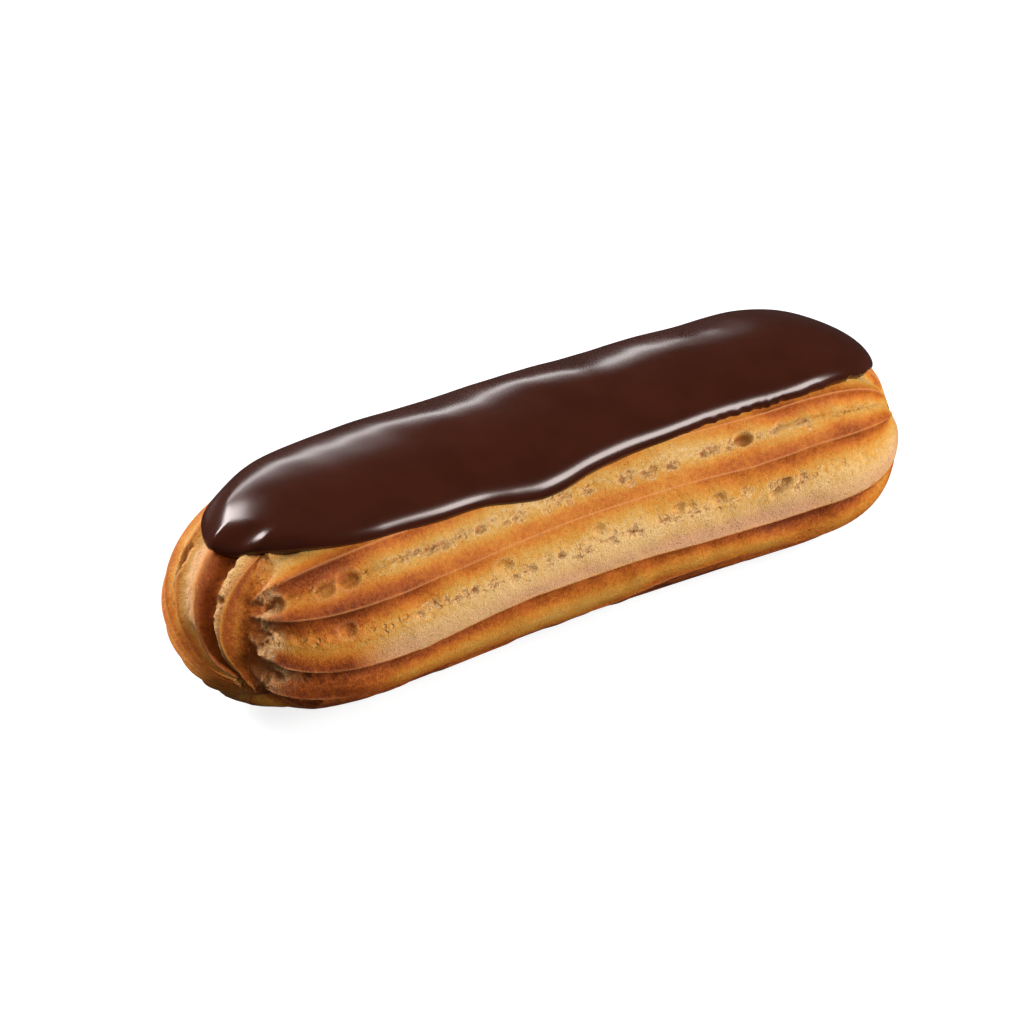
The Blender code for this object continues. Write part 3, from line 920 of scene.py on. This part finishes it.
# -------- materials
class Nodes:
    """Short names for making and joining shader nodes."""

    def __init__(self, name):
        self.material = bpy.data.materials.new(name)
        self.material.use_nodes = True
        self.tree = self.material.node_tree
        self.inputs = self.tree.nodes["Principled BSDF"].inputs

    def put(self, value, socket):
        if isinstance(value, bpy.types.NodeSocket):
            self.tree.links.new(value, socket)
        else:
            socket.default_value = value

    def make(self, kind, **inputs):
        """A new node, with values or links for its named inputs."""
        node = self.tree.nodes.new("ShaderNode" + kind)
        for name, value in inputs.items():
            self.put(value, node.inputs[name])
        return node

    def math(self, operation, first, second=0.0, third=0.0):
        node = self.make("Math")
        node.operation = operation
        for value, socket in zip((first, second, third), node.inputs):
            self.put(value, socket)
        return node.outputs[0]

    def times(self, first, second):
        return self.math("MULTIPLY", first, second)

    def field(self, name):
        node = self.make("Attribute")
        node.attribute_name = name
        return node.outputs["Fac"]

    def place(self):
        return self.make("TexCoord").outputs["Object"]

    def noise(self, place, size, detail=2.0, rough=0.5):
        """Noise about 0, with features of a size in metres."""
        node = self.make("TexNoise", Vector=place, Scale=1 / size, Detail=detail, Roughness=rough)
        return self.math("SUBTRACT", node.outputs["Fac"], 0.5)

    def cells(self, place, size):
        """Distance from the middle of the nearest cell, and a chance value of its own."""
        node = self.make("TexVoronoi", Vector=place, Scale=1 / size)
        parts = self.make("SeparateColor", Color=node.outputs["Color"])
        return node.outputs["Distance"], parts.outputs[0]

    def step_down(self, value, start, end):
        """1 below the start, falling to 0 at the end."""
        node = self.make("MapRange")
        node.interpolation_type = "SMOOTHSTEP"
        for setting, socket in zip((value, start, end, 1.0, 0.0), node.inputs):
            self.put(setting, socket)
        return node.outputs["Result"]

    def warp(self, place, size, amount):
        """The place, pushed about by noise."""
        noise = self.make("TexNoise", Vector=place, Scale=1 / size)
        push = self.make("VectorMath")
        push.operation = "MULTIPLY_ADD"
        self.put(noise.outputs["Color"], push.inputs[0])
        push.inputs[1].default_value = (amount,) * 3
        self.put(place, push.inputs[2])
        return push.outputs[0]

    def ramp(self, value, stops):
        node = self.make("ValToRGB", Fac=value)
        while len(node.color_ramp.elements) < len(stops):
            node.color_ramp.elements.new(0.5)
        for element, stop in zip(node.color_ramp.elements, stops):
            element.position, element.color = stop
        return node.outputs["Color"]

    def mix(self, share, first, second, blend_type="MIX"):
        node = self.make("Mix")
        node.data_type = "RGBA"
        node.blend_type = blend_type
        for value, index in ((share, 0), (first, 6), (second, 7)):
            self.put(value, node.inputs[index])
        return node.outputs[2]

    def total(self, first, *others):
        for other in others:
            first = self.math("ADD", first, other)
        return first

    def bump(self, height, strength, distance):
        node = self.make("Bump", Height=height, Strength=strength, Distance=distance)
        return node.outputs["Normal"]


# Colours of the crust, from pale to dark, the dark ones also standing for painted shade; then of
# its torn crumb, the painted shade in pits, crest lines and the painted sheen.
CREAM = (0.68, 0.43, 0.180, 1)
GOLD = (0.59, 0.315, 0.072, 1)
HONEY = (0.57, 0.245, 0.036, 1)
AMBER = (0.53, 0.162, 0.019, 1)
RUST = (0.37, 0.082, 0.012, 1)
DARK = (0.15, 0.028, 0.0065, 1)
TORN = (0.70, 0.42, 0.170, 1)
FLAKE = (0.86, 0.62, 0.33, 1)
HOLLOW = (0.40, 0.13, 0.030, 1)
PIT_SHADE = (0.30, 0.090, 0.019, 1)
LINE = (0.70, 0.29, 0.10, 1)
PAINTED_SHEEN = (0.58, 0.30, 0.17, 1)
BAKES = [(0.0, CREAM), (0.2, GOLD), (0.38, HONEY), (0.56, AMBER), (0.76, RUST), (1.0, DARK)]
CRUMBS = [(0.15, HOLLOW), (0.45, TORN), (0.75, FLAKE)]
ICING_DARK, ICING_LIGHT = (0.031, 0.0066, 0.0028, 1), (0.041, 0.0086, 0.0040, 1)
ICING_SHEEN = (1.0, 0.88, 0.84, 1)

# Sizes of the features that the materials' noise and cells make.
PATCH_SIZE, GRAIN_SIZE, FINE_SIZE, SPECK_SIZE = 4 * MM, 0.9 * MM, 0.35 * MM, 0.22 * MM
BUBBLE_SIZE, CLUSTER_SIZE, PORE_SIZE = 1.25 * MM, 5 * MM, 0.75 * MM
WARP_SIZE, WARP_PUSH = 1.3 * MM, 0.9 * MM
CLOUD_SIZE, DUST_SIZE = 9 * MM, 0.6 * MM


def crust_material():
    """Baked crust: its colours follow the fields that the mesh carries for each point.

    These hold painted shade and a painted sheen besides the crust's own colours.
    """
    nodes = Nodes("baked_crust")
    place = nodes.place()
    patch = nodes.noise(place, PATCH_SIZE, 3.0)
    grain = nodes.noise(place, GRAIN_SIZE, 4.0, 0.65)
    fine = nodes.noise(place, FINE_SIZE, 3.0, 0.6)
    bake, line, torn, pit, bloom, crumb = [nodes.field(name) for name in FIELDS]
    grains = nodes.math("ADD", grain, fine)
    porous = nodes.math("MAXIMUM", crumb, torn)
    mottle = nodes.times(grains, nodes.math("MULTIPLY_ADD", porous, 0.35, 0.55))
    bake = nodes.total(bake, nodes.times(patch, 0.14), mottle)
    # a painted sheen, pale colour for a reflection, over the baked colour and painted shade
    colour = nodes.mix(nodes.times(bloom, 0.85), nodes.ramp(bake, BAKES), PAINTED_SHEEN)
    crumbs = nodes.ramp(nodes.math("MULTIPLY_ADD", grains, 1.1, 0.5), CRUMBS)
    colour = nodes.mix(nodes.times(torn, 0.75), colour, crumbs)

    # small bubbles with browned rims, in clusters along the porous middle of each band
    warped = nodes.warp(place, WARP_SIZE, WARP_PUSH)
    away, chance = nodes.cells(warped, BUBBLE_SIZE)
    cluster = nodes.step_down(nodes.noise(place, CLUSTER_SIZE, 1.0), 0.06, -0.10)
    some = nodes.times(nodes.math("GREATER_THAN", chance, 0.35), cluster)
    some = nodes.times(some, nodes.math("POWER", porous, 2.5))
    bubble = nodes.times(nodes.step_down(away, 0.18, 0.40), some)
    rim = nodes.times(nodes.step_down(away, 0.42, 0.56), some)
    rim = nodes.times(nodes.math("SUBTRACT", rim, bubble), 0.35)
    colour = nodes.mix(rim, colour, RUST)
    colour = nodes.mix(nodes.times(bubble, 0.3), colour, TORN)

    # pinprick pores
    away, chance = nodes.cells(place, PORE_SIZE)
    some = nodes.math("GREATER_THAN", chance, 0.6)
    pore = nodes.times(nodes.step_down(away, 0.10, 0.24), some)
    pore_share = nodes.math("MULTIPLY_ADD", bloom, 0.35, 0.45)
    colour = nodes.mix(nodes.times(pore, pore_share), colour, RUST)

    # painted shade in pits, pale crest lines and fine specks
    colour = nodes.mix(nodes.times(pit, 0.9), colour, PIT_SHADE)
    colour = nodes.mix(nodes.times(line, 0.6), colour, LINE)
    speck = nodes.noise(place, SPECK_SIZE, 2.0, 0.6)
    specks = nodes.math("ADD", fine, speck)
    dark_speck = nodes.times(nodes.step_down(specks, -0.30, 0.0), 0.30)
    colour = nodes.mix(dark_speck, colour, RUST)
    shade = nodes.math("MULTIPLY_ADD", specks, 0.5, 1.0)
    nodes.put(nodes.mix(1.0, colour, shade, "MULTIPLY"), nodes.inputs["Base Color"])
    relief_height = nodes.total(
        nodes.times(grain, 0.7), nodes.times(fine, 0.5), nodes.times(bubble, -1.1),
        nodes.times(speck, 0.3), nodes.times(pore, -0.3), nodes.times(torn, grains),
    )
    nodes.put(nodes.bump(relief_height, 0.8, 0.35 * MM), nodes.inputs["Normal"])
    nodes.put(nodes.math("MULTIPLY_ADD", patch, 0.3, 0.55), nodes.inputs["Roughness"])
    nodes.inputs["Specular IOR Level"].default_value = 0.2
    return nodes.material


def icing_material():
    """Dark, glossy set chocolate, a little cloudy."""
    nodes = Nodes("dark_icing")
    place = nodes.place()
    cloud = nodes.noise(place, CLOUD_SIZE, 2.0)
    fine = nodes.noise(place, DUST_SIZE, 2.0)
    colour = nodes.ramp(nodes.math("ADD", cloud, 0.5), [(0.3, ICING_DARK), (0.7, ICING_LIGHT)])
    nodes.put(colour, nodes.inputs["Base Color"])
    nodes.put(nodes.math("MULTIPLY_ADD", cloud, 0.06, 0.20), nodes.inputs["Roughness"])
    nodes.put(nodes.bump(fine, 0.02, 0.05 * MM), nodes.inputs["Normal"])
    nodes.inputs["Specular IOR Level"].default_value = 0.45
    nodes.inputs["Specular Tint"].default_value = ICING_SHEEN
    return nodes.material


crust = build_shell()
crust.data.materials.append(crust_material())
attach(crust, "root")
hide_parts("choux_shell")

icing = build_icing()
icing.data.materials.append(icing_material())
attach(icing, "root")
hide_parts("chocolate_icing")


# -------- camera, floor and light
AZIMUTH, ELEVATION, DISTANCE = math.radians(-30.5), math.radians(35.04), 0.5
FOCAL_LENGTH, SENSOR = 100.8, 36.0
CENTRE_SHIFT = (-0.0276, -0.0016)
target = Vector((0, -BOW_CENTRE, AXIS_HEIGHT))
FLOOR, FLOOR_GLOW, FLOOR_GREY = 4.0, 0.8, 0.35
WORLD_GLOW = 0.045

# Each light's name, place, size in metres, power in watts, and whether the icing mirrors it.
LIGHTS = (
    ("key", (0.40, -0.52, 0.46), (0.28, 0.28), 4.3, True),
    ("key_halo", (0.41, -0.53, 0.47), (0.48, 0.48), 0.9, True),
    ("back", (0.15, 0.78, 0.265), (0.62, 0.085), 1.05, True),
    ("back_glow", (0.17, 0.76, 0.36), (0.62, 0.16), 0.30, True),
    ("back_left", (-0.27, 0.62, 0.42), (0.24, 0.24), 3.4, True),
    ("left", (-0.5, 0.6, 0.6), (0.4, 0.4), 9.4, False),
    ("front", (0.7, -0.7, 0.14), (0.5, 0.22), 6.4, False),
    ("left_front", (-0.6, -0.45, 0.3), (0.4, 0.3), 0.6, False),
    ("top", (-0.1, -0.05, 0.9), (0.6, 0.6), 1.5, False),
)


def add_camera():
    level = math.cos(ELEVATION)
    back = Vector((math.sin(AZIMUTH) * level, -math.cos(AZIMUTH) * level, math.sin(ELEVATION)))
    data = bpy.data.cameras.new("camera")
    data.lens, data.sensor_width = FOCAL_LENGTH, SENSOR
    data.shift_x, data.shift_y = CENTRE_SHIFT
    camera = add_object("camera", data)
    camera.location = target + back * DISTANCE
    camera.rotation_euler = back.to_track_quat("Z", "Y").to_euler()
    bpy.context.scene.camera = camera


def add_floor():
    mesh = bpy.data.meshes.new("floor")
    corners = [(-FLOOR, -FLOOR, 0), (FLOOR, -FLOOR, 0), (FLOOR, FLOOR, 0), (-FLOOR, FLOOR, 0)]
    mesh.from_pydata(corners, [], [(0, 1, 2, 3)])
    nodes = Nodes("floor")
    nodes.inputs["Base Color"].default_value = (FLOOR_GREY, FLOOR_GREY, FLOOR_GREY, 1)
    nodes.inputs["Roughness"].default_value = 0.9
    nodes.inputs["Specular IOR Level"].default_value = 0.0
    nodes.inputs["Emission Color"].default_value = (1, 1, 1, 1)
    nodes.inputs["Emission Strength"].default_value = FLOOR_GLOW
    mesh.materials.append(nodes.material)
    floor = add_object("floor", mesh)
    floor.visible_glossy = False
    floor.visible_diffuse = False


def add_light(name, place, size, power, mirrored):
    light = bpy.data.lights.new(name, "AREA")
    light.shape = "RECTANGLE"
    light.size, light.size_y = size
    light.energy = power
    lamp = add_object(name, light)
    lamp.location = place
    lamp.rotation_euler = (Vector(place) - target).to_track_quat("Z", "Y").to_euler()
    lamp.visible_glossy = mirrored


def add_world():
    world = bpy.data.worlds.new("studio")
    world.use_nodes = True
    background = world.node_tree.nodes["Background"]
    background.inputs["Color"].default_value = (1, 1, 1, 1)
    background.inputs["Strength"].default_value = WORLD_GLOW
    bpy.context.scene.world = world


add_camera()
add_floor()
for light in LIGHTS:
    add_light(*light)
add_world()
bpy.context.scene.view_settings.view_transform = "Standard"
